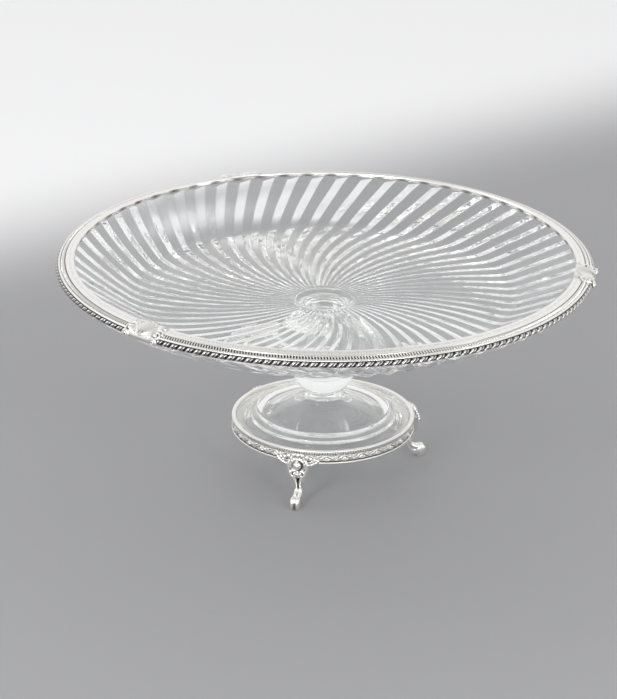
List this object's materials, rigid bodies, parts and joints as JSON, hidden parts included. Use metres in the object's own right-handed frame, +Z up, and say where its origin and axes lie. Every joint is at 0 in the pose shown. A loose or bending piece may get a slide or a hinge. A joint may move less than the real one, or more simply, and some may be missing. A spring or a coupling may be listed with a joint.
{
  "type": "footed platter",
  "caption": "Shallow round glass dish with swirled prism ribs on a turned glass pedestal, in a silver-plated rim band with scroll clasps and a silver-plated foot ring on cast cabriole legs.",
  "frame": {"origin": "on the table under the pedestal's axis, level with the flats under the toes", "axes": "+Z up along the pedestal's axis, +Y away from the picture's camera, +X to its right"},
  "size_m": [0.3117, 0.31, 0.1373],
  "materials": {
    "clear_glass": "fire-polished, clear with a faint grey-green tint",
    "silver_plate": "bright silver plate over cast and die-struck metal"
  },
  "bodies": {
    "root": {"glass_dish": "clear_glass", "glass_pedestal": "clear_glass", "rim_band_1": "silver_plate", "rim_band_2": "silver_plate", "rim_band_3": "silver_plate", "rim_clasp_1": "silver_plate", "rim_clasp_2": "silver_plate", "rim_clasp_3": "silver_plate", "foot_ring": "silver_plate", "leg_1": "silver_plate", "leg_2": "silver_plate", "leg_3": "silver_plate"}
  },
  "joints": []
}
